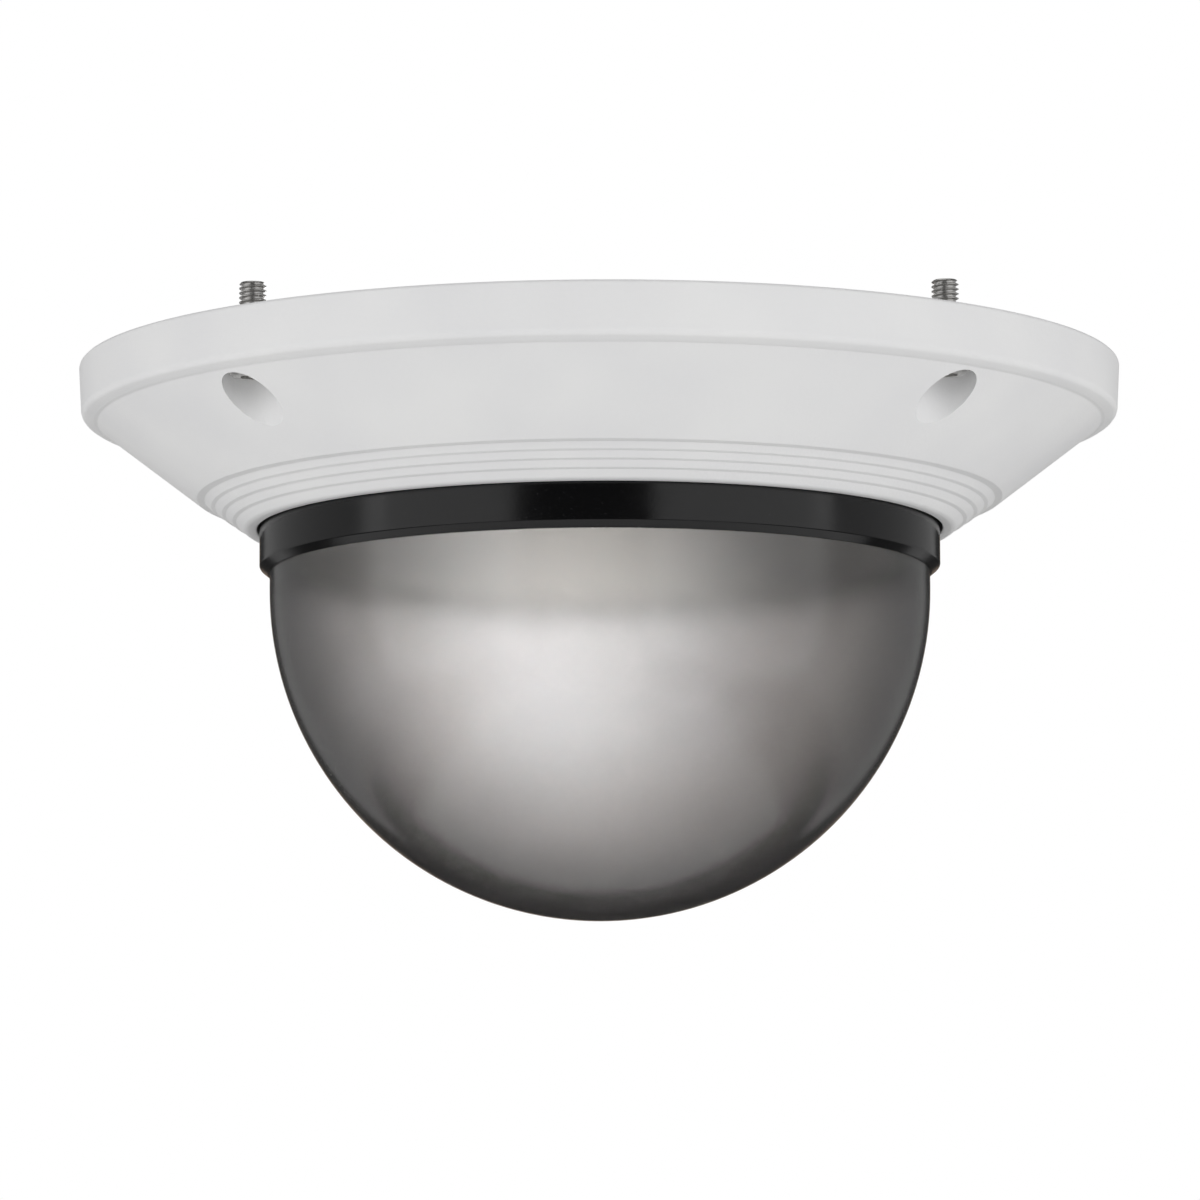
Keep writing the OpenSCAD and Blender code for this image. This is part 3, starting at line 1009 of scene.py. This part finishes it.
# %% Soft boxes
def softbox(name, azimuth, distance, height, size, radiance):
    """A square-cornered soft box that faces the object. Azimuth 0 is towards the camera."""
    data = bpy.data.lights.new(name, "AREA")
    data.shape = "RECTANGLE"
    data.size, data.size_y = size
    data.energy = radiance * math.pi * size[0] * size[1]
    light = bpy.data.objects.new(name, data)
    bpy.context.scene.collection.objects.link(light)
    turn_by = math.radians(azimuth)
    light.location = (distance * math.sin(turn_by), -distance * math.cos(turn_by), height)
    aim = Vector((0, 0, -0.03)) - light.location
    light.rotation_euler = aim.to_track_quat("-Z", "Y").to_euler()
    light.visible_camera = False
    light.visible_transmission = False
    return light


softbox("softbox_left", -56, 1.0, -0.1, (1.10, 0.9), 0.72)
softbox("softbox_right", 50, 1.0, -0.1, (1.30, 0.9), 0.72)
softbox("side_panel_left", -115, 1.0, -0.1, (1.7, 0.9), 0.30)
softbox("side_panel_right", 115, 1.0, -0.1, (1.7, 0.9), 0.30)
softbox("top_light", 180, 0.5, 1.2, (0.8, 0.8), 1.0)
softbox("low_light", 0, 0.001, -0.58, (1.0, 1.0), 0.5)
for name, azimuth in (("key_left", -50), ("key_right", 50)):
    softbox(name, azimuth, 1.0, 0.05, (0.9, 0.9), 1.2).visible_glossy = False
print("lights so far:", len(bpy.data.lights))

# %% [markdown]
# The liner's inside shows through the dome's neck as a soft pale band. A narrow spot from above
# and in front shines down the open rear and lights just that side of the liner.


# %% Spot into the rear mouth
def mouth_spot(place, aim_at, half_angle, power):
    """A narrow spot that shines down the rear mouth onto the far side of the liner."""
    data = bpy.data.lights.new("mouth_spot", "SPOT")
    data.energy = power
    data.spot_size = math.radians(2 * half_angle)
    data.spot_blend = 1.0
    data.shadow_soft_size = 0.01
    light = bpy.data.objects.new("mouth_spot", data)
    bpy.context.scene.collection.objects.link(light)
    light.location = place
    aim = Vector(aim_at) - light.location
    light.rotation_euler = aim.to_track_quat("-Z", "Y").to_euler()
    light.visible_glossy = False
    light.visible_transmission = False


SPOT_AT = (-0.009, -0.25, 0.35)
SPOT_AIM = (-0.004, 0.044, -0.065)
SPOT_HALF_ANGLE = 4.4
SPOT_POWER = 86.0
mouth_spot(SPOT_AT, SPOT_AIM, SPOT_HALF_ANGLE, SPOT_POWER)
print("spot power:", SPOT_POWER, "W")

# %% [markdown]
# The air round the object is white to the camera, a soft grey fill to matt surfaces, and nearly
# dark to mirrors and to what is seen through the dome. The light path node tells them apart.

# %% Studio air
FILL_LIGHT = 0.29
DARK_ROOM = 0.03

world = bpy.data.worlds.new("studio_air")
bpy.context.scene.world = world
world.use_nodes = True
air = world.node_tree
air.nodes.clear()
rays = add(air, "LightPath").outputs
seen = add(air, "Background", {"Color": (1, 1, 1, 1), "Strength": 1.0}).outputs[0]
fill = add(air, "Background", {"Color": (1, 1, 1, 1), "Strength": FILL_LIGHT}).outputs[0]
dark = add(air, "Background", {"Color": (1, 1, 1, 1), "Strength": DARK_ROOM}).outputs[0]
lit = add(air, "MixShader", {0: rays["Is Diffuse Ray"], 1: dark, 2: fill}).outputs[0]
both = add(air, "MixShader", {0: rays["Is Camera Ray"], 1: lit, 2: seen}).outputs[0]
add(air, "OutputWorld", {"Surface": both})
bpy.context.scene.view_settings.view_transform = "Standard"
print("fill", FILL_LIGHT, "dark", DARK_ROOM)
